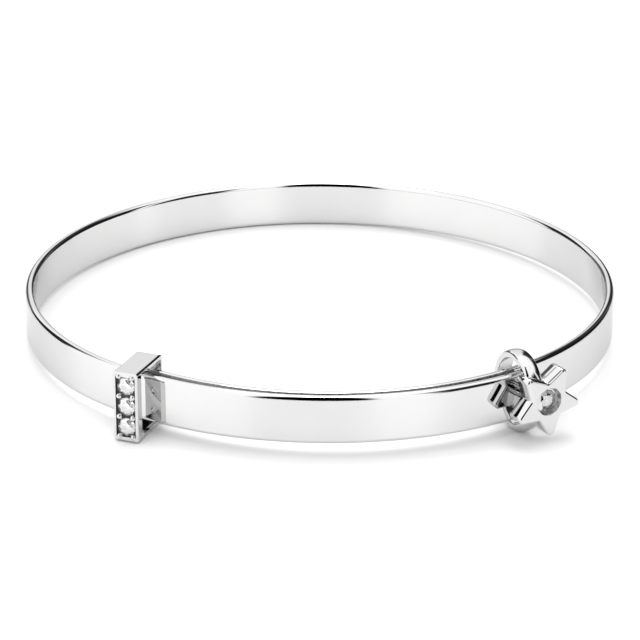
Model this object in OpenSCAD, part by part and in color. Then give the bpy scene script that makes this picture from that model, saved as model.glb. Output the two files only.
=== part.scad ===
// Expanding baby bangle: a flat silver strip wound a little over one turn, with a bar collar
// soldered to its inner end and a star collar to its outer end. Each collar runs round both layers.
// Origin at the centre of the wrist opening, +Z along the bangle's axis, the front towards -Y.
// Angles along the strip are in degrees from the front, positive towards +X.

/* [Band] */
// Outer diameter of the round part of the band
band_d = 46; // [44:0.5:52]
// Height of the strip
band_h = 3.7; // [3.2:0.1:4]
// Thickness of the strip
band_t = 0.7; // [0.5:0.05:0.75]
// How much smaller the radius of the inner overlapping layer is
curl_in = 0.75; // [0.75:0.05:0.85]
// How much larger the radius of the outer overlapping layer is
curl_out = 0.9; // [0.9:0.05:1]

/* [Bar collar] */
// Place of the bar collar along the front
bar_at = -35; // [-38:1:-32]
// Turn of the bar collar away from square to the strip
bar_turn = 13.5; // [10:0.5:15]
// Width of the bar along the strip
bar_w = 1.95; // [1.9:0.05:2.2]
// Depth of the bar collar from its face to its back
bar_depth = 4.5; // [4.4:0.05:4.7]
// Height of the bar
bar_h = 5.4; // [5.4:0.1:6]
// Thickness of the plate that holds the stones
bar_plate_t = 0.7; // [0.6:0.05:0.8]
// Thickness of the bent strip that closes the collar behind the plate
bar_wall_t = 0.35; // [0.3:0.05:0.4]
// Distance between neighbouring stones in the bar
bar_pitch = 1.6; // [1.55:0.05:1.65]
// Diameter of each stone in the bar
bar_stone_d = 1.36; // [1.2:0.02:1.36]

/* [Star collar] */
// Place of the star collar along the front
star_at = 39.4; // [37:0.2:40]
// Turn of the ring away from square to the strip
ring_turn = -16; // [-18:1:-13]
// Outer diameter of the ring that runs round the band
ring_d = 6.14; // [6:0.02:6.3]
// Wall of the ring at the crown of its domed outside
ring_wall = 0.6; // [0.5:0.01:0.65]
// Width of the ring along the strip
ring_w = 1.25; // [1.1:0.05:1.4]
// Distance from the star's centre to where the sides of an arm would meet
star_tip = 3.09; // [3:0.01:3.2]
// Distance from the star's centre to the corners between the arms
star_notch = 1.52; // [1.4:0.01:1.6]
// Rounding of the star's tips
star_tip_r = 0.32; // [0.28:0.01:0.34]
// Rounding of the star's front and back edges
star_edge_r = 0.2; // [0.14:0.02:0.24]
// Thickness of the star
star_t = 1.6; // [1.4:0.1:1.7]
// Diameter of the stone in the star
star_stone_d = 1.5; // [1.3:0.05:1.6]

/* [Hidden] */

round_fn = 96;
band_r = band_d / 2;

// Rounding of the strip's long edges, nearly half of its thickness
band_edge_part = 0.48;
band_edge_r = band_edge_part * band_t;

// Where the inner layer leaves the round part, and where the outer layer does
inner_from = 68;
outer_from = 313;
// Where the two ends are, and how round their corners are
inner_end = -37.1;
outer_end = 398.8;
end_r = 0.5;
layer_lap = 0.6;
layer_thin = 0.01;

// Bar collar
bar_edge_r = 0.14;
bar_corner_r = 0.2;
bar_bend_r = 0.55;
bar_pad = [0.8, 0.8, 3.3];
bar_pad_x = 0.3;
bar_frame_side = 0.2;
bar_frame_end = 0.34;
bar_recess = 0.17;
bar_grain_r = 0.23;
bar_grain_x = 0.54;
bar_grain_last = 2.36;
bar_grain_sunk = 0.05;
bar_r = band_r + 0.15;
bar_face = 2.075;
seat_gap = 0.04;

// Star collar
ring_edge_r = 0.12;
ring_dome = 0.22;
ring_r = band_r + 0.05;
ring_rise = 0.12;
star_turn = 7.3;
star_front = 3.36;
star_shift = 0.42;
star_rise = 0.11;
star_spin = -6;
star_notch_r = 0.2;
star_recess_d = 2.1;
star_recess = 0.45;
star_recess_floor_d = 1.75;
star_stone_at = [-0.02, 0.1];
star_seat_depth = 0.9;
post_r = 0.5;
post_x = -0.5;
post_from = 0.5;
post_l = 1.5;

// Stone proportions, as parts of the diameter
table_part = 0.56;
crown_part = 0.15;
girdle_part = 0.04;
pavilion_part = 0.42;
culet_part = 0.04;
seat_cone_part = 0.7;

// Frame on the strip: +X runs along it to the right, -Y points outwards
module on_band(at, r, turn, rise = 0)
    rotate([0, 0, at]) translate([0, -r, rise]) rotate([0, 0, turn]) children();

// Turns a shape drawn along +Z so that it points outwards
module outwards() rotate([90, 0, 0]) children();

// Rectangle with round corners, centred
module rounded_rect(w, h, r) {
    square([w - 2 * r, h], center = true);
    square([w, h - 2 * r], center = true);
    for (x = [-1, 1], y = [-1, 1])
        translate([x * (w / 2 - r), y * (h / 2 - r)]) circle(r, $fn = 48);
}

// Side view of the bar collar: small rounding at the face, at x = 0, and a wide bend at the back
module bar_side(d, h) {
    translate([bar_edge_r, -h / 2]) square([d - bar_edge_r - bar_bend_r, h]);
    translate([0, bar_edge_r - h / 2]) square([d / 2, h - 2 * bar_edge_r]);
    translate([d / 2, bar_bend_r - h / 2]) square([d / 2, h - 2 * bar_bend_r]);
    for (y = [-1, 1]) {
        translate([bar_edge_r, y * (h / 2 - bar_edge_r)]) circle(bar_edge_r, $fn = 48);
        translate([d - bar_bend_r, y * (h / 2 - bar_bend_r)]) circle(bar_bend_r, $fn = round_fn);
    }
}

// Outside of the bar collar, its face on y = 0 and its body behind it
module bar_body() intersection() {
    translate([0, bar_depth / 2, 0])
        linear_extrude(bar_h, center = true) rounded_rect(bar_w, bar_depth, bar_edge_r);
    rotate([90, 0, 90]) linear_extrude(bar_w, center = true) bar_side(bar_depth, bar_h);
    translate([0, bar_depth / 2, 0]) rotate([90, 0, 0])
        linear_extrude(bar_depth, center = true) rounded_rect(bar_w, bar_h, bar_corner_r);
}

// Space inside the bar collar, open to both sides, with its own bends at the back
module bar_inside() rotate([90, 0, 90]) linear_extrude(2 * bar_w, center = true) {
    bend_r = bar_bend_r - bar_wall_t;
    high = bar_h - 2 * bar_wall_t;
    deep = bar_depth - bar_plate_t - bar_wall_t;
    translate([bar_plate_t, -high / 2]) square([deep - bend_r, high]);
    translate([bar_plate_t, bend_r - high / 2]) square([deep, high - 2 * bend_r]);
    for (y = [-1, 1])
        translate([bar_plate_t + deep - bend_r, y * (high / 2 - bend_r)]) circle(bend_r, $fn = 48);
}

// Moves to the centre of an arc whose outer face has radius r and is tangent to the round part
// at the angle meet. A layer's own angles are measured round that centre.
module on_arc(r, meet) rotate([0, 0, meet]) translate([0, r - band_r, 0]) rotate([0, 0, -meet]) children();

// Stretch of the strip on such an arc. thin makes its section smaller all round.
module strip_arc(r, meet, from, to, thin = 0)
    on_arc(r, meet) rotate([0, 0, from - 90]) rotate_extrude(angle = to - from, $fn = 2 * round_fn)
        translate([r - band_t / 2, 0])
            rounded_rect(band_t - 2 * thin, band_h - 2 * thin, band_edge_r - thin);

// What is cut away to leave an end with round corners. side is 1 for an end that points to the
// right, -1 for one that points to the left.
module end_cut(r, meet, tip, side)
    on_arc(r, meet) rotate([0, 0, tip]) translate([0, -r, 0]) outwards()
        linear_extrude(4 * band_t, center = true) difference() {
            square([2 * end_r, 2 * band_h], center = true);
            translate([-side * end_r, 0]) square([2 * end_r, band_h - 2 * end_r], center = true);
            for (z = [-1, 1]) translate([-side * end_r, z * (band_h / 2 - end_r)]) circle(end_r, $fn = round_fn);
        }

// The strip: round part, inner layer to the left under it, outer layer to the right over it.
// Both layers start a little inside the round part and are a hair thinner, so that all is one solid.
module strip() color("silver") {
    strip_arc(band_r, 0, inner_from, outer_from);
    difference() {
        strip_arc(band_r - curl_in, inner_from, inner_end, inner_from + layer_lap, layer_thin);
        end_cut(band_r - curl_in, inner_from, inner_end, -1);
    }
    difference() {
        strip_arc(band_r + curl_out, outer_from, outer_from - layer_lap, outer_end, layer_thin);
        end_cut(band_r + curl_out, outer_from, outer_end, 1);
    }
}

// Frame on the bar's face: y = 0 on the face, +Y towards the wrist
module on_bar() on_band(bar_at, bar_r, bar_turn) translate([0, -bar_face, 0]) children();

// Places each stone of the bar
module at_bar_stone(i)
    on_bar() translate([0, bar_recess, (1 - i) * bar_pitch]) outwards() children();

// Frame in the middle of the star's face, +Z outwards
module on_star()
    on_band(star_at, ring_r, ring_turn, ring_rise) rotate([0, 0, star_turn])
        translate([star_shift, -star_front, star_rise]) outwards() children();

// Places the stone of the star
module at_star_stone() on_star() translate([star_stone_at[0], star_stone_at[1], -star_recess]) children();

// Hole that takes a stone of diameter d with a little room all round: a ledge, a cone along the
// stone's lower facets, and a drilled hole below
module seat(d, depth) {
    ledge = -girdle_part * d;
    cone_h = seat_cone_part * pavilion_part * d;
    top_r = d / 2 + seat_gap;
    low_r = (1 - seat_cone_part) * d / 2 + seat_cone_part * culet_part * d / 2 + seat_gap;
    translate([0, 0, ledge]) cylinder(h = 2 * d, r = top_r, $fn = round_fn);
    translate([0, 0, ledge - cone_h]) cylinder(h = cone_h + 0.001, r1 = low_r, r2 = top_r, $fn = round_fn);
    translate([0, 0, -depth]) cylinder(h = depth, r = low_r, $fn = round_fn);
}

// Bar-shaped collar: a loop open along the strip, with stones and grains in a sunk field on its face,
// and a pad of solder between its back and the end of the inner layer
module bar_collar() color("silver") {
    difference() {
        on_bar() difference() {
            bar_body();
            bar_inside();
            cube([bar_w - 2 * bar_frame_side, 2 * bar_recess, bar_h - 2 * bar_frame_end], center = true);
        }
        for (i = [0:2]) at_bar_stone(i) seat(bar_stone_d, bar_plate_t);
    }
    on_bar() {
        for (x = [-bar_grain_x, bar_grain_x],
             z = [-bar_grain_last, -bar_pitch / 2, bar_pitch / 2, bar_grain_last])
            translate([x, bar_recess - bar_grain_sunk, z]) sphere(bar_grain_r, $fn = 32);
        translate([bar_pad_x, bar_depth - bar_wall_t / 2 - bar_pad[1] / 2, 0]) cube(bar_pad, center = true);
    }
}

// Point at distance r and angle a, clockwise from the top
function polar(r, a) = r * [sin(a), cos(a)];

// Angle at the corner p of the triangle o, p, q, where o is the star's centre
function angle_at(p, q) = acos((q - p) * (-p) / (norm(q - p) * norm(p)));

// Half of the angle of an arm's tip, and half of the angle between two arms
function tip_half() = angle_at(polar(star_tip, 36), polar(star_notch, 0));
function notch_half() = 180 - angle_at(polar(star_notch, 0), polar(star_tip, 36));

// Outline of the star, drawn in by inset, with arcs of steps points at its tips and notches
function star_points(inset, steps = 6) = [
    for (i = [0:4])
        let (
            notch_turn = 90 - notch_half(),
            notch_c = star_notch + star_notch_r / sin(notch_half()),
            tip_turn = 90 - tip_half(),
            tip_c = star_tip - star_tip_r / sin(tip_half())
        )
        each concat(
            [for (k = [0:steps / 2]) let (a = 72 * i + star_spin)
                polar(notch_c, a) - polar(star_notch_r + inset, a + notch_turn * (1 - 4 * k / steps))],
            [for (k = [0:steps]) let (a = 36 + 72 * i + star_spin)
                polar(tip_c, a) + polar(star_tip_r - inset, a + tip_turn * (2 * k / steps - 1))]
        )
];

// Star with rounded edges, its face on z = 0: rings of the outline, drawn in along a quarter
// round at its back and at its face
module star_body() {
    arc_steps = 3;
    arc = [for (k = [0:arc_steps]) star_edge_r * [1 - sin(90 * k / arc_steps), 1 - cos(90 * k / arc_steps)]];
    rings = concat(
        [for (k = [0:arc_steps]) [arc[k][0], arc[k][1] - star_t]],
        [for (k = [0:arc_steps]) [arc[arc_steps - k][0], -arc[arc_steps - k][1]]]
    );
    n = len(star_points(0));
    last = (len(rings) - 1) * n;
    points = [for (ring = rings) for (p = star_points(ring[0])) [p[0], p[1], ring[1]]];
    middles = [[0, 0, -star_t], [0, 0, 0]];
    sides = [for (k = [0:len(rings) - 2], i = [0:n - 1])
        [k * n + i, k * n + (i + 1) % n, (k + 1) * n + (i + 1) % n, (k + 1) * n + i]];
    back = [for (i = [0:n - 1]) [last + n, (i + 1) % n, i]];
    face = [for (i = [0:n - 1]) [last + n + 1, last + i, last + (i + 1) % n]];
    polyhedron(concat(points, middles), concat(back, sides, face));
}

// Outline of the ring's section, its inner face on x = 0: round corners inside, a dome outside
function ring_points(corner_steps = 3, dome_steps = 16) = concat(
    [for (side = [0, 1], k = [0:corner_steps])
        let (a = 90 * (1 + side + k / corner_steps))
        [ring_edge_r, (1 - 2 * side) * (ring_w / 2 - ring_edge_r)] + ring_edge_r * [cos(a), sin(a)]],
    [for (k = [0:dome_steps])
        let (a = 180 * k / dome_steps - 90)
        [ring_wall - ring_dome + ring_dome * cos(a), ring_w / 2 * sin(a)]]
);

// Ring round the band with the star on its front, and the hidden post that holds the strip's end
module star_collar() color("silver") difference() {
    union() {
        on_band(star_at, ring_r, ring_turn, ring_rise) rotate([0, 90, 0]) rotate_extrude($fn = round_fn)
            translate([ring_d / 2 - ring_wall, 0]) polygon(ring_points());
        on_star() {
            star_body();
            translate([post_x, 0, post_from - star_front]) cylinder(h = post_l, r = post_r, $fn = 48);
        }
    }
    at_star_stone() {
        cylinder(h = star_recess + 0.01, d1 = star_recess_floor_d, d2 = star_recess_d, $fn = round_fn);
        seat(star_stone_d, star_seat_depth);
    }
}

// Round brilliant, its table towards +Z and its girdle at z = 0
module brilliant(d) color("white") hull() {
    translate([0, 0, crown_part * d - 0.001])
        rotate([0, 0, 22.5]) cylinder(h = 0.001, d = table_part * d, $fn = 8);
    translate([0, 0, -girdle_part * d]) cylinder(h = girdle_part * d, d = d, $fn = 16);
    translate([0, 0, -(girdle_part + pavilion_part) * d]) cylinder(h = 0.001, d = culet_part * d, $fn = 8);
}

module bar_stone(i) at_bar_stone(i) brilliant(bar_stone_d);

module star_stone() at_star_stone() brilliant(star_stone_d);

module band_with_collars() {
    strip();
    bar_collar();
    star_collar();
}

band_with_collars();
bar_stone(0);  // bar_stone_1
bar_stone(1);  // bar_stone_2
bar_stone(2);  // bar_stone_3
star_stone();
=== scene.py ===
import math

import bmesh
import bpy
import numpy as np
from mathutils import Matrix, Vector


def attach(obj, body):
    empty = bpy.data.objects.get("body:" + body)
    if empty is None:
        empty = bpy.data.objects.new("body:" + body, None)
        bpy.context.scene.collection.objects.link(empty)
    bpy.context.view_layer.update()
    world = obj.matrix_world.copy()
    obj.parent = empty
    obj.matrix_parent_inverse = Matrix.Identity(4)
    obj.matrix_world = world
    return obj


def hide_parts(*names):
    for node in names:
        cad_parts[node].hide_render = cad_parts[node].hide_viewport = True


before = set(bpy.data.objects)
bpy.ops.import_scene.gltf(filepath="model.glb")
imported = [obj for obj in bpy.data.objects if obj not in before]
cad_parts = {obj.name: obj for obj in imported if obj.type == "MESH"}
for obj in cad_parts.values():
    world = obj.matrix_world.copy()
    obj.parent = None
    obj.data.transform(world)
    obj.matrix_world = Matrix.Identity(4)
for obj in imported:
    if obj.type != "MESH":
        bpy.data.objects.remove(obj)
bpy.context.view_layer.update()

# The bangle and the camera's place are in millimetres, as in the part's source, until a mesh is made.
# The floor, the studio and the camera's range are in metres. Angles are in degrees.
MM = 0.001

# Strip
BAND_R = 23.0
BAND_H = 3.7
BAND_T = 0.7
BAND_EDGE_PART = 0.48
BAND_EDGE_R = BAND_EDGE_PART * BAND_T
CURL_IN = 0.75
CURL_OUT = 0.9
INNER_FROM = 68.0
OUTER_FROM = 313.0
INNER_END = -37.1
OUTER_END = 398.8
END_R = 0.5

# Bar collar
BAR_AT = -35.0
BAR_TURN = 13.5
BAR_OUT = 0.15
BAR_FACE = 2.075
BAR_W = 1.95
BAR_DEPTH = 4.5
BAR_H = 5.4
BAR_PLATE_T = 0.7
BAR_WALL_T = 0.35
BAR_BEND_R = 0.55
BAR_INNER_R = 0.01
BAR_EDGE_R = 0.14
BAR_CORNER_R = 0.2
BAR_FRAME_SIDE = 0.2
BAR_FRAME_END = 0.34
BAR_RECESS = 0.17
BAR_FIELD_R = 0.03
BAR_STONES = 3
BAR_PITCH = 1.6
BAR_STONE_D = 1.36
GRAIN_R = 0.23
GRAIN_X = 0.54
GRAIN_LAST = 2.36
GRAIN_SUNK = 0.05
PAD_W = 0.8
PAD_DEPTH = 0.8
PAD_H = 3.3
PAD_EDGE_R = 0.15
PAD_X = 0.3

# Star collar
STAR_AT = 39.4
RING_TURN = -16.0
RING_OUT = 0.05
RING_RISE = 0.12
RING_D = 6.14
RING_WALL = 0.6
RING_W = 1.25
RING_EDGE_R = 0.12
RING_DOME = 0.22
STAR_TURN = 7.3
STAR_FRONT = 3.36
STAR_SHIFT = 0.42
STAR_RISE = 0.11
STAR_SPIN = -6.0
STAR_TIPS = 5
STAR_TIP = 3.09
STAR_NOTCH = 1.52
STAR_TIP_R = 0.32
STAR_NOTCH_R = 0.2
STAR_EDGE_R = 0.2
STAR_T = 1.6
STAR_STONE_D = 1.5
STAR_STONE_AT = (-0.02, 0.1)
STAR_RECESS_D = 2.1
STAR_RECESS_FLOOR_D = 1.75
STAR_RECESS = 0.45
STAR_SEAT_DEPTH = 0.9
STAR_RIM_R = 0.04
# The star's flanks are flat. Only their shading normals lean, by this much at the edges.
STAR_BOW = 26.0
POST_R = 0.5
POST_X = -0.5
POST_FROM = 0.5
POST_L = 1.5

# Stones, as parts of their diameter
FACETS = 8
TABLE_PART = 0.56
CROWN_PART = 0.15
GIRDLE_PART = 0.04
PAVILION_PART = 0.42
CULET_PART = 0.04
MID_CROWN_PART = 0.76
MID_PAVILION_PART = 0.3
SEAT_CONE_PART = 0.7
SEAT_GAP = 0.04

# Smoothness of the meshes
STRIP_STEP = 0.5
ARC_STEPS = 8
CIRCLE_STEPS = 96
GRAIN_STEPS = 32
SQUARE_WITHIN = 0.3
SMOOTH_WITHIN = 31.0
SQUARE_WEIGHT = 1000.0
WELD_DIGITS = 6

QUARTER_TURN = [math.radians(90 * k / ARC_STEPS) for k in range(ARC_STEPS + 1)]
X, Y, Z = np.eye(3)

# Places in the part


def radial(angle):
    """Level unit vector at an angle from the front, positive towards +X."""
    a = math.radians(angle)
    return np.array([math.sin(a), -math.cos(a), 0.0])


def tangent(angle):
    """Level unit vector along the strip at that angle."""
    a = math.radians(angle)
    return np.array([math.cos(a), math.sin(a), 0.0])


def turn_z(angle):
    return Matrix.Rotation(math.radians(angle), 4, "Z")


def on_band(at, out, turn, rise=0.0):
    """Frame on the strip or a little outside it: +X runs along it to the right, -Y points outwards."""
    return turn_z(at) @ Matrix.Translation((0, -BAND_R - out, rise)) @ turn_z(turn)


OUTWARDS = Matrix.Rotation(math.radians(90), 4, "X")
SIDEWAYS = turn_z(90) @ OUTWARDS
ON_BAR = on_band(BAR_AT, BAR_OUT, BAR_TURN) @ Matrix.Translation((0, -BAR_FACE, 0))
ON_RING = on_band(STAR_AT, RING_OUT, RING_TURN, RING_RISE)
STAR_FACE = Matrix.Translation((STAR_SHIFT, -STAR_FRONT, STAR_RISE))
ON_STAR = ON_RING @ turn_z(STAR_TURN) @ STAR_FACE @ OUTWARDS
AT_STAR_STONE = ON_STAR @ Matrix.Translation((*STAR_STONE_AT, -STAR_RECESS))


def at_bar_stone(i):
    """Frame in the girdle of one of the bar's stones, +Z outwards."""
    rise = ((BAR_STONES - 1) / 2 - i) * BAR_PITCH
    return ON_BAR @ Matrix.Translation((0, BAR_RECESS, rise)) @ OUTWARDS


# Meshes


class Shape:
    """Faces in millimetres with a normal at every corner, so that rounded edges reflect smoothly."""

    def __init__(self):
        self.faces = []

    def flat(self, points, normal):
        self.faces.append((points, [normal] * len(points)))

    def sheet(self, points, normals):
        """Quads between the rows of a grid, each of which is closed from its last point to its first."""
        columns = len(points[0])
        for i in range(len(points) - 1):
            for j in range(columns):
                k = (j + 1) % columns
                corners = ((i, j), (i, k), (i + 1, k), (i + 1, j))
                quad = [points[a][b] for a, b in corners]
                self.faces.append((quad, [normals[a][b] for a, b in corners]))

    def lathe(self, profile, steps=CIRCLE_STEPS):
        """Turns a profile about Z: (radius, height, outward part of the normal, its height part)."""
        points, normals = [], []
        around = [(math.cos(a), math.sin(a)) for a in circle_angles(steps)]
        for r, h, side, up in profile:
            points.append([(r * c, r * s, h) for c, s in around])
            normals.append([(side * c, side * s, up) for c, s in around])
        self.sheet(points, normals)

    def made(self, name, place=Matrix.Identity(4)):
        """The mesh object, moved to its place in the part."""
        vertices, faces, normals = {}, [], []
        for points, turns in self.faces:
            if facing_in(points, turns):
                points, turns = points[::-1], turns[::-1]
            welded = [tuple(round(c, WELD_DIGITS) + 0.0 for c in p) for p in points]
            ids = [vertices.setdefault(p, len(vertices)) for p in welded]
            kept = [i for i in range(len(ids)) if ids[i] != ids[i - 1]]
            if len(kept) > 2:
                faces.append([ids[i] for i in kept])
                normals.extend(turns[i] for i in kept)
        mesh = bpy.data.meshes.new(name)
        mesh.from_pydata(list(vertices), [], faces)
        put_in_place(mesh, normals, place)
        return shown(name, mesh)


def facing_in(points, normals):
    """True where the order of a face's points makes it look the other way from its normals."""
    area = np.zeros(3)
    for p, q in zip(points, [*points[1:], points[0]]):
        area += np.cross(p, q)
    return area @ np.sum(normals, axis=0) < 0


def put_in_place(mesh, normals, place):
    """Moves a mesh from millimetres to its place in the part, and gives its corners their normals."""
    mesh.transform(Matrix.Scale(MM, 4) @ place)
    mesh.shade_smooth()
    turn = np.array(place.to_3x3())
    mesh.normals_split_custom_set((np.array(normals) @ turn.T).tolist())


def shown(name, data):
    made = bpy.data.objects.new(name, data)
    bpy.context.scene.collection.objects.link(made)
    return made


def circle_angles(steps):
    return [math.tau * k / steps for k in range(steps)]


def rounded_box(w, h, radii):
    """Outline of a rectangle round the origin, with its normals, anticlockwise from the right bottom."""
    points, normals = [], []
    for k, (x, y) in enumerate([(1, -1), (1, 1), (-1, 1), (-1, -1)]):
        r = radii[k]
        centre = (x * (w / 2 - r), y * (h / 2 - r))
        for j in range(ARC_STEPS + 1):
            a = math.radians(90 * (k - 1) + 90 * j / ARC_STEPS)
            normals.append((math.cos(a), math.sin(a)))
            points.append((centre[0] + r * math.cos(a), centre[1] + r * math.sin(a)))
    return points, normals


def solid(rings, place):
    """Closed solid in millimetres through rings of equally many points, from the lowest up."""
    body = bmesh.new()
    rows = [[body.verts.new(p) for p in ring] for ring in rings]
    body.faces.new(rows[0][::-1])
    body.faces.new(rows[-1])
    for low, high in zip(rows, rows[1:]):
        for k in range(len(low)):
            n = (k + 1) % len(low)
            body.faces.new((low[k], low[n], high[n], high[k]))
    mesh = bpy.data.meshes.new("solid")
    body.to_mesh(mesh)
    body.free()
    mesh.transform(place)
    return shown("solid", mesh)


def rounded_solid(w, h, radii, depth, place):
    """Solid with the outline of a rounded rectangle, its depth centred on its frame."""
    outline = rounded_box(w, h, radii)[0]
    return solid([[(x, y, z) for x, y in outline] for z in (-depth / 2, depth / 2)], place)


def turned_solid(profile, place):
    """Solid of (radius, height) points turned about Z."""
    around = [(math.cos(a), math.sin(a)) for a in circle_angles(CIRCLE_STEPS)]
    return solid([[(r * c, r * s, h) for c, s in around] for r, h in profile], place)


def apply_boolean(target, tool, operation):
    """Changes target by a boolean operation with tool, which is used up."""
    cut = target.modifiers.new("cut", "BOOLEAN")
    cut.operation = operation
    cut.solver = "EXACT"
    cut.object = tool
    ready = target.evaluated_get(bpy.context.evaluated_depsgraph_get())
    mesh = bpy.data.meshes.new_from_object(ready)
    target.modifiers.clear()
    target.data = mesh
    bpy.data.objects.remove(tool)


def smooth_corners(mesh):
    """Normals for round edges and faces square to an axis. A corner on a square face keeps its normal."""
    square_cosine = math.cos(math.radians(SQUARE_WITHIN))
    smooth_cosine = math.cos(math.radians(SMOOTH_WITHIN))
    turns = [np.array(p.normal) for p in mesh.polygons]
    at_vertex = [[] for _ in mesh.vertices]
    for p in mesh.polygons:
        square = max(abs(turns[p.index])) > square_cosine
        for v in p.vertices:
            at_vertex[v].append((p.index, SQUARE_WEIGHT if square else p.area))
    normals = []
    for p in mesh.polygons:
        for v in p.vertices:
            near = [(i, w) for i, w in at_vertex[v] if turns[i] @ turns[p.index] > smooth_cosine]
            total = sum(w * turns[i] for i, w in near)
            normals.append(total / np.linalg.norm(total))
    return normals


# Strip


def strip_line(angle):
    """Centre and outer radius of the stretch of the strip that an angle falls on."""
    if angle < INNER_FROM:
        return CURL_IN * radial(INNER_FROM), BAND_R - CURL_IN
    if angle > OUTER_FROM:
        return -CURL_OUT * radial(OUTER_FROM), BAND_R + CURL_OUT
    return np.zeros(3), BAND_R


def strip_angles():
    """Angles of the sections, with more of them where the ends' corners are rounded."""
    tip = math.degrees(END_R / BAND_R)
    corner = [tip * (1 - math.cos(a)) for a in QUARTER_TURN[:-1]]
    middle = np.arange(INNER_END + tip, OUTER_END - tip, STRIP_STEP)
    return [INNER_END + c for c in corner] + list(middle) + [OUTER_END - c for c in reversed(corner)]


def strip_section(angle):
    """Points and normals of the strip's section, lower where an end's corners are rounded."""
    centre, outer = strip_line(angle)
    from_tip = min(angle - INNER_END, OUTER_END - angle) * math.radians(1) * outer
    lean = max(0.0, 1 - from_tip / END_R)
    rise = math.sqrt(max(0.0, 1 - lean**2))
    height = BAND_H - 2 * END_R * (1 - rise)
    along = tangent(angle) * (1 if angle > (INNER_END + OUTER_END) / 2 else -1)
    points, normals = [], []
    for (x, z), (nx, nz) in zip(*rounded_box(BAND_T, height, [BAND_EDGE_R] * 4)):
        points.append(centre + (outer - BAND_T / 2 + x) * radial(angle) + z * Z)
        normals.append(nx * radial(angle) + nz * (rise * Z) + abs(nz) * lean * along)
    return points, normals


def make_strip():
    shape = Shape()
    points, normals = zip(*[strip_section(angle) for angle in strip_angles()])
    shape.sheet(points, normals)
    shape.flat(points[0], -tangent(INNER_END))
    shape.flat(points[-1], tangent(OUTER_END))
    return shape.made("band_strip")


# Bar collar


def seat_profile(d, depth):
    """Hole for a stone from below: drilled hole, cone along its lower facets, ledge at its girdle."""
    ledge = -GIRDLE_PART * d
    cone = SEAT_CONE_PART * PAVILION_PART * d
    top_r = d / 2 + SEAT_GAP
    low_r = (1 - SEAT_CONE_PART) * d / 2 + SEAT_CONE_PART * CULET_PART * d / 2 + SEAT_GAP
    return [(low_r, -depth), (low_r, ledge - cone), (top_r, ledge), (top_r, 0.0)]


def rounded_bar():
    """Block of the bar collar: rounded as seen from above, from the side and from the front."""
    middle = Matrix.Translation((0, BAR_DEPTH / 2, 0))
    side_radii = [BAR_BEND_R, BAR_BEND_R, BAR_EDGE_R, BAR_EDGE_R]
    body = rounded_solid(BAR_W, BAR_DEPTH, [BAR_EDGE_R] * 4, BAR_H, middle)
    side = rounded_solid(BAR_DEPTH, BAR_H, side_radii, BAR_W, middle @ SIDEWAYS)
    front = rounded_solid(BAR_W, BAR_H, [BAR_CORNER_R] * 4, BAR_DEPTH, middle @ OUTWARDS)
    apply_boolean(body, side, "INTERSECT")
    apply_boolean(body, front, "INTERSECT")
    return body


def make_bar_collar():
    """Loop with a thick front plate, its sunk field and the seats of its three stones."""
    body = rounded_bar()
    deep = BAR_DEPTH - BAR_PLATE_T - BAR_WALL_T
    high = BAR_H - 2 * BAR_WALL_T
    inner_radii = [BAR_BEND_R - BAR_WALL_T] * 2 + [BAR_INNER_R] * 2
    inside_at = Matrix.Translation((0, BAR_PLATE_T + deep / 2, 0)) @ SIDEWAYS
    apply_boolean(body, rounded_solid(deep, high, inner_radii, 2 * BAR_W, inside_at), "DIFFERENCE")
    field_w = BAR_W - 2 * BAR_FRAME_SIDE
    field_h = BAR_H - 2 * BAR_FRAME_END
    field = rounded_solid(field_w, field_h, [BAR_FIELD_R] * 4, 2 * BAR_RECESS, OUTWARDS)
    apply_boolean(body, field, "DIFFERENCE")
    for i in range(BAR_STONES):
        seat_at = ON_BAR.inverted() @ at_bar_stone(i)
        seat = turned_solid(seat_profile(BAR_STONE_D, 2 * BAR_PLATE_T), seat_at)
        apply_boolean(body, seat, "DIFFERENCE")
    body.name = "bar_collar"
    body.data.name = "bar_collar"
    put_in_place(body.data, smooth_corners(body.data), ON_BAR)
    return body


def make_grain(i, x, z):
    """Round grain of silver that holds the stones beside it."""
    half = GRAIN_STEPS // 2
    arc = [math.radians(180 * k / half - 90) for k in range(half + 1)]
    shape = Shape()
    turns = [(math.cos(a), math.sin(a)) for a in arc]
    shape.lathe([(GRAIN_R * c, GRAIN_R * s, c, s) for c, s in turns], steps=GRAIN_STEPS)
    place = ON_BAR @ Matrix.Translation((x, BAR_RECESS - GRAIN_SUNK, z)) @ OUTWARDS
    return shape.made(f"bar_grain_{i + 1}", place)


def make_grains():
    rows = (GRAIN_LAST, BAR_PITCH / 2, -BAR_PITCH / 2, -GRAIN_LAST)
    spots = [(x, z) for z in rows for x in (-GRAIN_X, GRAIN_X)]
    return [make_grain(i, x, z) for i, (x, z) in enumerate(spots)]


def make_pad():
    """Pad of solder between the back of the bar collar and the end of the inner layer."""
    shape = Shape()
    outline, normals = rounded_box(PAD_W, PAD_H, [PAD_EDGE_R] * 4)
    back, front = [[(x, y, z) for x, y in outline] for z in (-PAD_DEPTH / 2, PAD_DEPTH / 2)]
    shape.sheet([back, front], [[(*n, 0.0) for n in normals]] * 2)
    shape.flat(back, -Z)
    shape.flat(front, Z)
    middle = BAR_DEPTH - BAR_WALL_T / 2 - PAD_DEPTH / 2
    return shape.made("bar_solder_pad", ON_BAR @ Matrix.Translation((PAD_X, middle, 0)) @ OUTWARDS)


# Star collar


def polar(r, angle):
    """Point at distance r and an angle clockwise from the top."""
    a = math.radians(angle)
    return np.array([r * math.sin(a), r * math.cos(a)])


def corner_angle(p, q):
    """Angle at the corner p of the triangle o, p, q, where o is the star's centre."""
    cosine = (q - p) @ -p / (np.linalg.norm(q - p) * np.linalg.norm(p))
    return math.degrees(math.acos(cosine))


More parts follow.
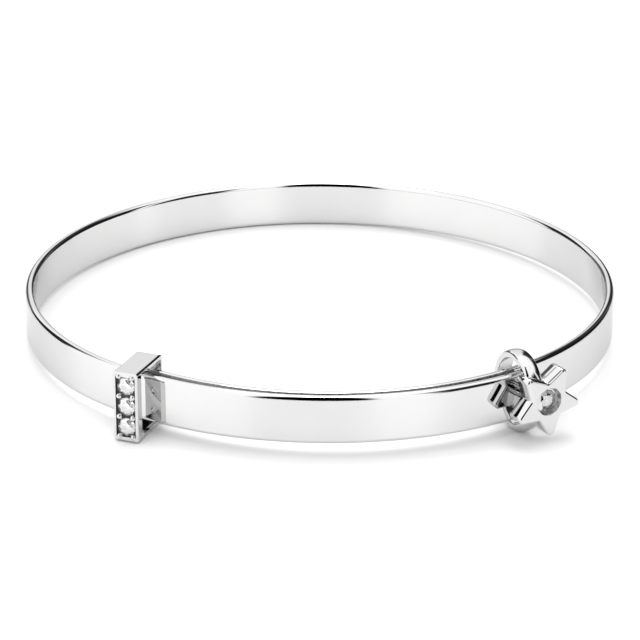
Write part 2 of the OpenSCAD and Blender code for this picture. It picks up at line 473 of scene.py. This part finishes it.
def star_outline(inset):
    """Outline of the star drawn in by inset, with its normals."""
    step = 360 / STAR_TIPS
    tip = polar(STAR_TIP, step / 2)
    notch = polar(STAR_NOTCH, 0)
    tip_half = corner_angle(tip, notch)
    notch_half = 180 - corner_angle(notch, tip)
    notch_at = STAR_NOTCH + STAR_NOTCH_R / math.sin(math.radians(notch_half))
    tip_at = STAR_TIP - STAR_TIP_R / math.sin(math.radians(tip_half))
    points, normals = [], []
    for i in range(STAR_TIPS):
        notch_angle = step * i + STAR_SPIN
        tip_angle = notch_angle + step / 2
        for k in range(ARC_STEPS + 1):
            n = polar(1, notch_angle + (90 - notch_half) * (1 - 2 * k / ARC_STEPS))
            points.append(polar(notch_at, notch_angle) - (STAR_NOTCH_R + inset) * n)
            normals.append(n)
        for k in range(2 * ARC_STEPS + 1):
            n = polar(1, tip_angle + (90 - tip_half) * (k / ARC_STEPS - 1))
            points.append(polar(tip_at, tip_angle) + (STAR_TIP_R - inset) * n)
            normals.append(n)
    return points[::-1], normals[::-1]


def star_rows():
    """Rows of points and normals round the star, from back to face. Flat flanks are shaded as if bowed."""
    rows = [(a, STAR_EDGE_R * (1 - math.sin(a)) - STAR_T, -1) for a in reversed(QUARTER_TURN)]
    rows += [(a, -STAR_EDGE_R * (1 - math.sin(a)), 1) for a in QUARTER_TURN]
    points, normals = [], []
    for a, height, side in rows:
        outline, outward = star_outline(STAR_EDGE_R * (1 - math.cos(a)))
        lean = math.radians(STAR_BOW) + a * (1 - STAR_BOW / 90)
        out, up = math.cos(lean), side * math.sin(lean)
        points.append([(x, y, height) for x, y in outline])
        normals.append([(x * out, y * out, up) for x, y in outward])
    return points, normals


def recess_stretches():
    """Stretches from the recess's rim down its seat: ends as (radius, height), and the normal."""
    slope = math.atan2((STAR_RECESS_D - STAR_RECESS_FLOOR_D) / 2, STAR_RECESS)
    rim = (STAR_RECESS_D / 2, -STAR_RIM_R)
    foot = (STAR_RECESS_FLOOR_D / 2, -STAR_RECESS)
    seat = [(r, h - STAR_RECESS) for r, h in reversed(seat_profile(STAR_STONE_D, STAR_SEAT_DEPTH))]
    lean = math.atan2(seat[1][0] - seat[2][0], seat[1][1] - seat[2][1])
    return [
        ((rim, foot), -math.cos(slope), math.sin(slope)),
        ((foot, seat[0]), 0.0, 1.0),
        ((seat[0], seat[1]), -1.0, 0.0),
        ((seat[1], seat[2]), -math.cos(lean), math.sin(lean)),
        ((seat[2], seat[3]), -1.0, 0.0),
    ]


def add_face_and_recess(shape, edge):
    """Star's face from its edge to the round rim of the recess, and the recess with its stone's seat."""
    middle = np.array(STAR_STONE_AT)
    rays = [np.array(p[:2]) - middle for p in edge]
    rays = [ray / np.linalg.norm(ray) for ray in rays]
    rim = STAR_RECESS_D / 2

    def circle(r, height):
        return [(*(middle + r * ray), height) for ray in rays]

    def facing(side, up):
        return [(side * ray[0], side * ray[1], up) for ray in rays]

    shape.sheet([edge, circle(rim + STAR_RIM_R, 0)], [[Z] * len(rays)] * 2)
    bend = [(STAR_RIM_R * (1 - math.sin(a)), STAR_RIM_R * (1 - math.cos(a))) for a in QUARTER_TURN]
    turns = [facing(-math.sin(a), math.cos(a)) for a in QUARTER_TURN]
    shape.sheet([circle(rim + out, -down) for out, down in bend], turns)
    stretches = recess_stretches()
    for ends, side, up in stretches:
        shape.sheet([circle(r, h) for r, h in ends], [facing(side, up)] * 2)
    bottom = stretches[-1][0][-1]
    shape.flat(circle(*bottom), Z)


def make_star():
    """Star with rounded tips, notches and edges."""
    points, normals = star_rows()
    shape = Shape()
    shape.sheet(points, normals)
    back = points[0]
    for k in range(len(back)):
        shape.flat([back[(k + 1) % len(back)], back[k], (0, 0, -STAR_T)], -Z)
    add_face_and_recess(shape, points[-1])
    return shape.made("star", ON_STAR)


def ring_section():
    """Points and normals of the ring's section, x from its inner face. Its outside is domed."""
    points, normals = [], []
    for side, first in ((1, 90), (-1, 180)):
        centre = np.array([RING_EDGE_R, side * (RING_W / 2 - RING_EDGE_R)])
        for k in range(ARC_STEPS + 1):
            a = math.radians(first + 90 * k / ARC_STEPS)
            n = np.array([math.cos(a), math.sin(a)])
            points.append(centre + RING_EDGE_R * n)
            normals.append(n)
    steps = 4 * ARC_STEPS
    for k in range(steps + 1):
        a = math.radians(180 * k / steps - 90)
        across, along = math.cos(a), math.sin(a)
        n = np.array([across / RING_DOME, along / (RING_W / 2)])
        points.append(np.array([RING_WALL - RING_DOME + RING_DOME * across, RING_W / 2 * along]))
        normals.append(n / np.linalg.norm(n))
    return points, normals


def make_ring():
    """Ring that runs round both layers of the strip behind the star."""
    shape = Shape()
    section, turns = ring_section()
    points, normals = [], []
    for a in circle_angles(2 * CIRCLE_STEPS):
        away = np.array([0.0, math.cos(a), math.sin(a)])
        points.append([y * X + (RING_D / 2 - RING_WALL + x) * away for x, y in section])
        normals.append([ny * X + nx * away for nx, ny in turns])
    points.append(points[0])
    normals.append(normals[0])
    shape.sheet(points, normals)
    return shape.made("star_ring", ON_RING)


def make_post():
    """Post behind the star that holds the end of the outer layer."""
    shape = Shape()
    shape.lathe([(POST_R, 0.0, 1, 0), (POST_R, POST_L, 1, 0)])
    around = [(POST_R * math.cos(a), POST_R * math.sin(a)) for a in circle_angles(CIRCLE_STEPS)]
    shape.flat([(x, y, 0.0) for x, y in around], -Z)
    shape.flat([(x, y, POST_L) for x, y in around], Z)
    return shape.made("star_post", ON_STAR @ Matrix.Translation((POST_X, 0, POST_FROM - STAR_FRONT)))


# Stones


def stone_ring(r, h, count, start=0.0):
    turns = [math.radians(start + 360 * k / count) for k in range(count)]
    return [np.array([r * math.cos(a), r * math.sin(a), h]) for a in turns]


def brilliant(d):
    """Facets of a round brilliant with its girdle's top at 0, and the height of its girdle's foot."""
    half_step = 180 / FACETS
    inwards = math.cos(math.radians(half_step))
    crown = CROWN_PART * d
    depth = PAVILION_PART * d
    foot = -GIRDLE_PART * d
    girdle_r = d / 2
    table_r = TABLE_PART * girdle_r
    mid_r = MID_CROWN_PART * girdle_r
    mid_h = crown * (girdle_r - mid_r * inwards) / (girdle_r - table_r)
    deep_r = MID_PAVILION_PART * girdle_r
    deep_h = foot - depth * (1 - deep_r * inwards / girdle_r)
    table = stone_ring(table_r, crown, FACETS, half_step)
    mid = stone_ring(mid_r, mid_h, FACETS)
    top = stone_ring(girdle_r, 0.0, 2 * FACETS)
    bottom = stone_ring(girdle_r, foot, 2 * FACETS)
    deep = stone_ring(deep_r, deep_h, FACETS)
    culet = np.array([0.0, 0.0, foot - depth])
    facets = [table]
    for k in range(FACETS):
        n = (k + 1) % FACETS
        left, main, right = 2 * k, 2 * k + 1, (2 * k + 2) % (2 * FACETS)
        facets.append([mid[n], table[n], table[k]])
        facets.append([mid[k], top[main], mid[n], table[k]])
        facets.append([mid[k], top[left], top[main]])
        facets.append([top[main], top[right], mid[n]])
        facets.append([top[left], bottom[left], bottom[main], top[main]])
        facets.append([top[main], bottom[main], bottom[right], top[right]])
        facets.append([culet, deep[n], bottom[main], deep[k]])
        facets.append([bottom[left], deep[k], bottom[main]])
        facets.append([bottom[main], deep[n], bottom[right]])
    return facets, foot


def make_stone(name, d, place):
    """Round brilliant with flat facets, each of which faces away from the stone's middle."""
    facets, foot = brilliant(d)
    shape = Shape()
    for facet in facets:
        normal = np.cross(facet[1] - facet[0], facet[2] - facet[0])
        if normal @ (sum(facet) / len(facet) - foot * Z) < 0:
            facet = facet[::-1]
            normal = -normal
        shape.flat(facet, normal / np.linalg.norm(normal))
    return shape.made(name, place)


# Materials. A noise is given by its scale per metre and its detail, a wave by its scale and height.
# Tones, mirror share and refraction were tuned with the studio's light until renders matched the
# photograph. They aren't measured properties of silver or of a stone.

NOISE_LOW = 0.3
NOISE_HIGH = 0.7
WAVE_DETAIL = 1.0
STRIP_TONE = 0.67
STRIP_ROUGHNESS = (0.02, 0.045)
STRIP_WAVE = (220.0, 2.0e-6)
COLLAR_TONE = 0.64
COLLAR_ROUGHNESS = (0.03, 0.07)
COLLAR_WAVE = (700.0, 1.5e-6)
EDGE_TINT = 0.8
HAZE_NOISE = (260.0, 4.0)
HAZE_PALER = 0.02
HAZE_WARMER = 0.003
POLISH_NOISE = (900.0, 3.0)
# Painted shade in hollows and between the strip's layers: its noise, roughness and bump, then its tones on
# the bar's field, the star's recess wall and the faces between the layers.
PAINTED_SHADE_NOISE = (4000.0, 5.0)
PAINTED_SHADE_ROUGHNESS = (0.25, 0.5)
PAINTED_SHADE_DEPTH = 1.0e-5
FIELD_SHADE_TONES = (0.02, 0.08)
RECESS_SHADE_TONES = (0.22, 0.75)
LAYER_SHADE_TONES = (0.1, 0.25)
LAYER_DARK_TO = 52.0
LAYER_MARGIN = 0.02
LEVEL_MARGIN = 0.01
FACET_MIRROR = 0.4
STONE_IOR = 2.4
STONE_NOISE = (3000.0, 2.0)
STONE_COLOURS = ((0.96, 0.965, 0.97), (1.0, 1.0, 1.0))
STONE_ROUGHNESS = (0.0, 0.01)
FLOOR_NOISE = (30.0, 3.0)
FLOOR_TONES = (0.79, 0.81)
FLOOR_ROUGHNESS = 0.35


def new_material(name):
    material = bpy.data.materials.new(name)
    material.use_nodes = True
    return material, material.node_tree, material.node_tree.nodes["Principled BSDF"]


def grey(tone):
    return (tone, tone, tone)


def noise(tree, scale, detail):
    """Noise over the piece's own coordinates."""
    place = tree.nodes.new("ShaderNodeTexCoord")
    texture = tree.nodes.new("ShaderNodeTexNoise")
    texture.inputs["Scale"].default_value = scale
    texture.inputs["Detail"].default_value = detail
    tree.links.new(place.outputs["Object"], texture.inputs["Vector"])
    return texture.outputs["Fac"]


def roughened(tree, shader, value, low, high):
    """Roughness from low to high, by a noise."""
    spread = tree.nodes.new("ShaderNodeMapRange")
    spread.inputs["From Min"].default_value = NOISE_LOW
    spread.inputs["From Max"].default_value = NOISE_HIGH
    spread.inputs["To Min"].default_value = low
    spread.inputs["To Max"].default_value = high
    tree.links.new(value, spread.inputs["Value"])
    tree.links.new(spread.outputs["Result"], shader.inputs["Roughness"])


def coloured(tree, shader, value, low, high):
    """Base colour from low to high, by a noise."""
    ramp = tree.nodes.new("ShaderNodeValToRGB")
    ramp.color_ramp.elements[0].position = NOISE_LOW
    ramp.color_ramp.elements[0].color = (*low, 1)
    ramp.color_ramp.elements[1].position = NOISE_HIGH
    ramp.color_ramp.elements[1].color = (*high, 1)
    tree.links.new(value, ramp.inputs["Fac"])
    tree.links.new(ramp.outputs["Color"], shader.inputs["Base Color"])


def bumped(tree, shader, value, height):
    bump = tree.nodes.new("ShaderNodeBump")
    bump.inputs["Distance"].default_value = height
    tree.links.new(value, bump.inputs["Height"])
    tree.links.new(bump.outputs["Normal"], shader.inputs["Normal"])


def polished_silver(name, tone, roughness, wave):
    """Mirror-polished silver: faint hazy patches, and the slight waves that a buffing wheel leaves."""
    material, tree, shader = new_material(name)
    shader.inputs["Metallic"].default_value = 1.0
    shader.inputs["Specular Tint"].default_value = (EDGE_TINT, EDGE_TINT, EDGE_TINT, 1)
    pale = tone + HAZE_PALER
    haze = noise(tree, *HAZE_NOISE)
    coloured(tree, shader, haze, grey(tone), (pale, pale, pale - HAZE_WARMER))
    roughened(tree, shader, noise(tree, *POLISH_NOISE), *roughness)
    wave_scale, wave_height = wave
    bumped(tree, shader, noise(tree, wave_scale, WAVE_DETAIL), wave_height)
    return material


def painted_shade_silver(name, low, high):
    """Darker silver that paints shade, for hollows and for the faces between the strip's layers."""
    material, tree, shader = new_material(name)
    shader.inputs["Metallic"].default_value = 1.0
    grain = noise(tree, *PAINTED_SHADE_NOISE)
    coloured(tree, shader, grain, grey(low), grey(high))
    roughened(tree, shader, grain, *PAINTED_SHADE_ROUGHNESS)
    bumped(tree, shader, grain, PAINTED_SHADE_DEPTH)
    return material


def clear_stone():
    """Clear stone, part of it a plain mirror, which keeps it bright, with a faint haze on its facets."""
    material, tree, shader = new_material("clear_stone")
    shader.inputs["Metallic"].default_value = FACET_MIRROR
    shader.inputs["Transmission Weight"].default_value = 1.0
    shader.inputs["IOR"].default_value = STONE_IOR
    haze = noise(tree, *STONE_NOISE)
    coloured(tree, shader, haze, *STONE_COLOURS)
    roughened(tree, shader, haze, *STONE_ROUGHNESS)
    return material


def pale_floor():
    """Smooth white table with a soft gloss."""
    material, tree, shader = new_material("pale_floor")
    low, high = FLOOR_TONES
    coloured(tree, shader, noise(tree, *FLOOR_NOISE), grey(low), grey(high))
    shader.inputs["Roughness"].default_value = FLOOR_ROUGHNESS
    return material


def dress(piece, material, node):
    """Gives a piece its material, hangs it from the root body and hides the CAD node that it stands for.
    """
    piece.data.materials.clear()
    piece.data.materials.append(material)
    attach(piece, "root")
    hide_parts(node)


def darken(piece, material, chosen):
    """Gives the faces of a piece that chosen picks the darker silver of painted shade."""
    piece.data.materials.append(material)
    for face in piece.data.polygons:
        if chosen(face):
            face.material_index = 1


def on_field_floor(face):
    """On the floor of the bar's sunk field."""
    spot = ON_BAR.inverted() @ (face.center / MM)
    return abs(spot.y - BAR_RECESS) < LEVEL_MARGIN and abs(spot.x) < BAR_W / 2 - BAR_FRAME_SIDE


def on_recess_wall(face):
    """On the wall of the star's recess."""
    spot = ON_STAR.inverted() @ (face.center / MM)
    between = -STAR_RECESS + LEVEL_MARGIN < spot.z < -STAR_RIM_R - LEVEL_MARGIN
    return between and math.dist(spot[:2], STAR_STONE_AT) < STAR_RECESS_D / 2


def between_layers(face):
    """On a side of the strip that faces its other layer."""
    at = face.center / MM
    angle = math.degrees(math.atan2(at.x, -at.y))
    if not INNER_END < angle < OUTER_END - 360:
        return False
    centre, outer = strip_line(angle)
    inner_layer_to = np.linalg.norm(centre + outer * radial(angle)) + LAYER_MARGIN
    facing = 1 if math.hypot(at.x, at.y) < inner_layer_to else -1
    outwards = np.array(face.normal) @ radial(angle)
    return outwards * facing > math.cos(math.radians(LAYER_DARK_TO))


# Pieces

strip = make_strip()
bar_collar = make_bar_collar()
grains = make_grains()
pad = make_pad()
star = make_star()
ring = make_ring()
post = make_post()

strip_silver = polished_silver("silver_strip", STRIP_TONE, STRIP_ROUGHNESS, STRIP_WAVE)
collar_silver = polished_silver("silver_collars", COLLAR_TONE, COLLAR_ROUGHNESS, COLLAR_WAVE)
dress(strip, strip_silver, "band_with_collars")
for piece in [bar_collar, *grains, pad, star, ring, post]:
    dress(piece, collar_silver, "band_with_collars")

# Painted shade and dark reflections: darker silver on the floor of the bar's sunk field.
darken(bar_collar, painted_shade_silver("silver_bar_field_painted_shade", *FIELD_SHADE_TONES), on_field_floor)
# Painted shade: darker silver on the wall of the star's recess.
darken(star, painted_shade_silver("silver_star_recess_painted_shade", *RECESS_SHADE_TONES), on_recess_wall)
# Painted shade: darker silver on the strip's faces that face its other layer.
darken(strip, painted_shade_silver("silver_between_layers_painted_shade", *LAYER_SHADE_TONES), between_layers)

stone_material = clear_stone()
for i in range(BAR_STONES):
    node = f"bar_stone_{i + 1}"
    dress(make_stone(f"cut_{node}", BAR_STONE_D, at_bar_stone(i)), stone_material, node)
star_stone = make_stone("cut_star_stone", STAR_STONE_D, AT_STAR_STONE)
dress(star_stone, stone_material, "star_stone")

# Floor, through the three points that the bangle rests on

FLOOR_HALF = 1.2
SETTLING_ROUNDS = 12


def resting_plane(groups):
    """Point and upward normal of the plane under the lowest vertex of each of three groups."""
    normal = Z
    for _ in range(SETTLING_ROUNDS):
        a, b, c = (g[np.argmin(g @ normal)] for g in groups)
        normal = np.cross(b - a, c - a)
        normal *= math.copysign(1, normal[2]) / np.linalg.norm(normal)
    return a, normal


def vertex_points(piece):
    return np.array([v.co[:] for v in piece.data.vertices])


def make_floor():
    """Wide flat floor in the resting plane."""
    strip_points = vertex_points(strip)
    back_points = strip_points[strip_points[:, 1] > 0]
    at, up = resting_plane([vertex_points(ring), vertex_points(bar_collar), back_points])
    quad = [(-1, -1), (1, -1), (1, 1), (-1, 1)]
    mesh = bpy.data.meshes.new("floor")
    mesh.from_pydata([(x * FLOOR_HALF, y * FLOOR_HALF, 0) for x, y in quad], [], [(0, 1, 2, 3)])
    mesh.materials.append(pale_floor())
    made = shown("floor", mesh)
    made.rotation_mode = "QUATERNION"
    made.rotation_quaternion = Vector(Z).rotation_difference(Vector(up))
    made.location = at


make_floor()

# Studio: white all round, with dark gaps between the soft lights, which only reflections show.
# The gaps were placed one by one until the reflections lay as they do in the photograph.

WHITE_LIGHT = 1.45
DOME_LIGHT = 1.42
DOME_R = 0.6
DOME_LOW = -4.0
DOME_STEP = 1.5
KEY_ELEVATION = 78.0
KEY_DISTANCE = 0.5
KEY_SIZE = 0.3
KEY_POWER = 1.0

# Azimuth from the front, half width, highest elevation, softness of the sides and of the top, darkness
GAPS = {
    "front": (-5, 25, 92, 7, 10, 1.0),
    "right front": (57, 22, 58, 9, 12, 0.98),
    "right": (113, 34, 54, 8, 12, 0.99),
    "left": (-124, 20, 52, 6, 20, 0.98),
    "right back": (156, 18, 52, 8, 10, 0.97),
    "left back": (-152, 16, 24, 8, 8, 0.9),
    "back": (180, 20, 14, 8, 8, 0.7),
    "high back": (180, 26, 60, 12, 20, 0.15),
}


def set_world():
    world = bpy.data.worlds.new("studio")
    bpy.context.scene.world = world
    world.use_nodes = True
    background = world.node_tree.nodes["Background"]
    background.inputs["Color"].default_value = (1, 1, 1, 1)
    background.inputs["Strength"].default_value = WHITE_LIGHT


def painted_glow():
    """Glows by the light painted on a mesh's vertices."""
    material = bpy.data.materials.new("studio_glow")
    material.use_nodes = True
    tree = material.node_tree
    tree.nodes.clear()
    out = tree.nodes.new("ShaderNodeOutputMaterial")
    glow = tree.nodes.new("ShaderNodeEmission")
    painted = tree.nodes.new("ShaderNodeVertexColor")
    painted.layer_name = "light"
    tree.links.new(painted.outputs["Color"], glow.inputs["Color"])
    glow.inputs["Strength"].default_value = DOME_LIGHT
    tree.links.new(glow.outputs["Emission"], out.inputs["Surface"])
    return material


def soft_step(x, width):
    """0 at x = 0 or less, 1 at width or more, smooth between."""
    t = min(1.0, max(0.0, x / width))
    return t * t * (3 - 2 * t)


def dome_light(azimuth, elevation):
    """Share of the white light that reaches the bangle from that direction."""
    light = 1.0
    for middle, half_width, top, soft_side, soft_top, darkness in GAPS.values():
        offset = abs((azimuth - middle + 180) % 360 - 180)
        inside = soft_step(half_width - offset, soft_side) * soft_step(top - elevation, soft_top)
        light *= 1 - darkness * inside
    return light


def make_dome():
    """Glowing dome from just below the bangle's level to overhead, which only reflections show."""
    columns = round(360 / DOME_STEP)
    rows = math.floor((90 - DOME_LOW) / DOME_STEP)
    points, lights, faces = [], [], []
    for i in range(rows + 1):
        elevation = DOME_LOW + i * DOME_STEP
        e = math.radians(elevation)
        for j in range(columns):
            azimuth = j * DOME_STEP
            points.append(DOME_R * (math.cos(e) * radial(azimuth) + math.sin(e) * Z))
            lights.append(dome_light(azimuth, elevation))
    for i in range(rows):
        low, high = i * columns, (i + 1) * columns
        for j in range(columns):
            k = (j + 1) % columns
            faces.append((low + j, low + k, high + k, high + j))
    mesh = bpy.data.meshes.new("studio_dome")
    mesh.from_pydata(points, [], faces)
    colour = mesh.color_attributes.new("light", "FLOAT_COLOR", "POINT")
    colour.data.foreach_set("color", [c for light in lights for c in (light, light, light, 1)])
    mesh.materials.append(painted_glow())
    made = shown("studio_dome", mesh)
    made.visible_camera = False
    made.visible_diffuse = False
    made.visible_shadow = False


def make_key_light():
    """Soft light from above and behind, which draws the shadows towards the front."""
    data = bpy.data.lights.new("key", "AREA")
    data.shape = "DISK"
    data.size = KEY_SIZE
    data.energy = KEY_POWER
    made = shown("key", data)
    elevation = math.radians(KEY_ELEVATION)
    towards = Vector(math.cos(elevation) * Y + math.sin(elevation) * Z)
    made.location = KEY_DISTANCE * towards
    made.rotation_mode = "QUATERNION"
    made.rotation_quaternion = towards.to_track_quat("Z", "Y")


set_world()
make_dome()
make_key_light()

# Camera, fitted to the photograph

CAMERA_DISTANCE = 247.983
CAMERA_ELEVATION = 22.123
CAMERA_PITCH = 22.072
CAMERA_ROLL = 0.092
CAMERA_SIDE = 0.034
CAMERA_DROP = 1.85
LENS = 177.06
SENSOR = 36.0
SEEN_FROM = 0.01
SEEN_TO = 10.0
MIRROR_BOUNCES = 10


def make_camera():
    data = bpy.data.cameras.new("camera")
    data.lens = LENS
    data.sensor_width = SENSOR
    data.clip_start = SEEN_FROM
    data.clip_end = SEEN_TO
    made = shown("camera", data)
    up = math.radians(CAMERA_ELEVATION)
    at = (CAMERA_SIDE, -CAMERA_DISTANCE * math.cos(up), CAMERA_DISTANCE * math.sin(up) - CAMERA_DROP)
    pitch = Matrix.Rotation(math.radians(90 - CAMERA_PITCH), 4, "X")
    made.matrix_world = Matrix.Translation(Vector(at) * MM) @ pitch @ turn_z(CAMERA_ROLL)
    bpy.context.scene.camera = made


make_camera()
bpy.context.scene.view_settings.view_transform = "Standard"
bpy.context.scene.cycles.glossy_bounces = MIRROR_BOUNCES
